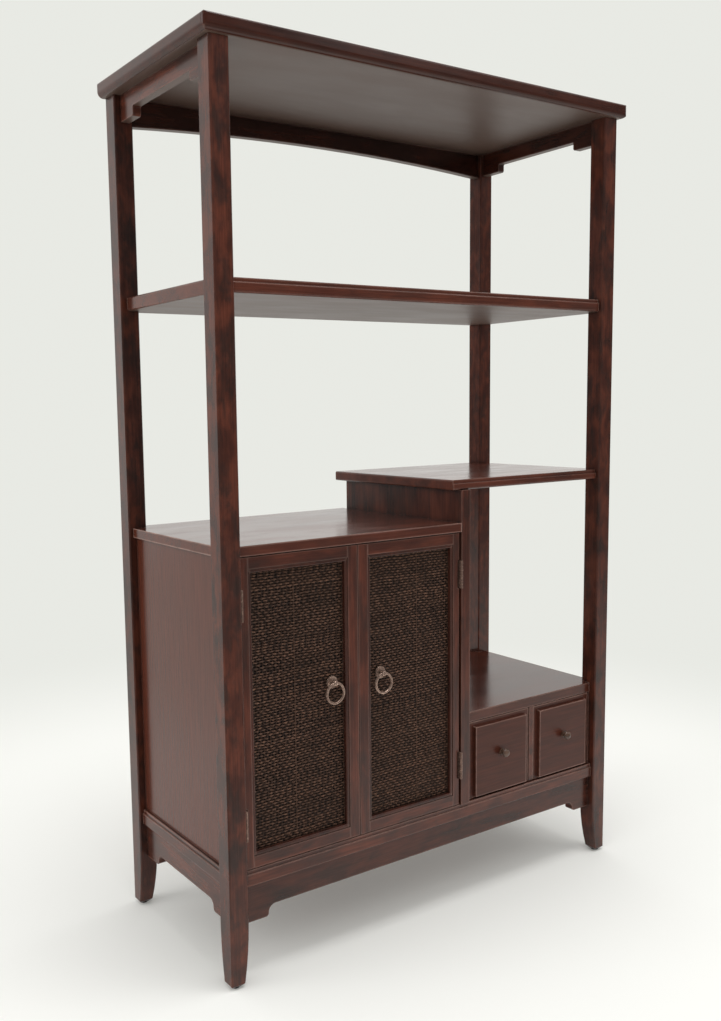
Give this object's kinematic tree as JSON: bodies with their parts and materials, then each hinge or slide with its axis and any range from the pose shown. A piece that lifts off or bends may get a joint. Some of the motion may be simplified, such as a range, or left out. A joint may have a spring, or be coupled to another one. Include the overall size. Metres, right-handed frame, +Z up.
{
  "type": "display shelf",
  "caption": "Open display shelf with a low cabinet behind woven doors, small drawers, stepped shelves and a top board on four posts.",
  "frame": {"origin": "centre of the floor area under the top board, at floor level", "axes": "+Z up, +Y from the front to the back, +X to the right seen from the front"},
  "size_m": [0.777, 0.3186, 1.252],
  "materials": {
    "lacquered_frame": "gloss red-brown lacquer, almost black in places",
    "lacquered_board": "satin gloss red-brown lacquer",
    "side_panel": "gloss red-brown lacquer over a plain grain",
    "door_bead": "dark lacquer",
    "woven_panel": "coarse basket weave of dark brown yarn",
    "inner_board": "plain sealed wood",
    "knob_wood": "turned, lacquered brown",
    "antique_brass": "dark aged brass, bright on the edges",
    "steel": "plain",
    "catch_plastic": "matt dark brown",
    "glide_plastic": "matt black"
  },
  "bodies": {
    "root": {"base_apron_front": "lacquered_frame", "base_apron_left": "lacquered_frame", "base_apron_rear": "lacquered_frame", "base_apron_right": "lacquered_frame", "base_floor": "inner_board", "base_rail_front": "lacquered_frame", "base_rail_left": "lacquered_frame", "base_rail_rear": "lacquered_frame", "base_rail_right": "lacquered_frame", "cabinet_back_panel": "inner_board", "cabinet_side_panel": "side_panel", "cabinet_top": "lacquered_board", "door_catches": "catch_plastic", "drawer_case_back_panel": "inner_board", "drawer_case_side_panel": "side_panel", "drawer_case_stiles": "lacquered_frame", "drawer_divider": "lacquered_frame", "drawer_guides": "inner_board", "fixed_hinge_leaves": "antique_brass", "foot_glides": "glide_plastic", "lower_shelf": "lacquered_board", "partition": "lacquered_frame", "post_front_left": "lacquered_frame", "post_front_right": "lacquered_frame", "post_rear_left": "lacquered_frame", "post_rear_right": "lacquered_frame", "side_shelf": "lacquered_board", "top_apron_left": "lacquered_frame", "top_apron_rear": "lacquered_frame", "top_apron_right": "lacquered_frame", "top_board": "lacquered_board", "upper_shelf": "lacquered_board"},
    "door_left": {"door_left_bead": "door_bead", "door_left_bottom_rail": "lacquered_frame", "door_left_hinge_leaves": "antique_brass", "door_left_hinge_stile": "lacquered_frame", "door_left_meeting_stile": "lacquered_frame", "door_left_pull_mount": "antique_brass", "door_left_strike_plate": "steel", "door_left_top_rail": "lacquered_frame", "door_left_woven_panel": "woven_panel"},
    "ring_left": {"door_left_ring": "antique_brass"},
    "door_right": {"door_right_bead": "door_bead", "door_right_bottom_rail": "lacquered_frame", "door_right_hinge_leaves": "antique_brass", "door_right_hinge_stile": "lacquered_frame", "door_right_meeting_stile": "lacquered_frame", "door_right_pull_mount": "antique_brass", "door_right_strike_plate": "steel", "door_right_top_rail": "lacquered_frame", "door_right_woven_panel": "woven_panel"},
    "ring_right": {"door_right_ring": "antique_brass"},
    "drawer_left": {"drawer_left_bottom": "inner_board", "drawer_left_box": "inner_board", "drawer_left_front": "lacquered_frame", "drawer_left_knob": "knob_wood"},
    "drawer_right": {"drawer_right_bottom": "inner_board", "drawer_right_box": "inner_board", "drawer_right_front": "lacquered_frame", "drawer_right_knob": "knob_wood"}
  },
  "joints": [
    {"name": "door_left_hinge", "type": "hinge", "parent": "root", "child": "door_left", "pos_m": [-0.3464, -0.14535, 0.3735], "axis": [0, 0, 1], "range_deg": [-175, 0]},
    {"name": "door_right_hinge", "type": "hinge", "parent": "root", "child": "door_right", "pos_m": [0.0419, -0.14535, 0.3735], "axis": [0, 0, 1], "range_deg": [0, 175]},
    {"name": "ring_left_swing", "type": "hinge", "parent": "door_left", "child": "ring_left", "pos_m": [-0.1957, -0.14425, 0.3945], "axis": [-1, 0, 0], "range_deg": [0, 85]},
    {"name": "ring_right_swing", "type": "hinge", "parent": "door_right", "child": "ring_right", "pos_m": [-0.1088, -0.14425, 0.3945], "axis": [-1, 0, 0], "range_deg": [0, 85]},
    {"name": "drawer_left_slide", "type": "slide", "parent": "root", "child": "drawer_left", "axis": [0, 1, 0], "range_m": [-0.2, 0]},
    {"name": "drawer_right_slide", "type": "slide", "parent": "root", "child": "drawer_right", "axis": [0, 1, 0], "range_m": [-0.2, 0]}
  ]
}
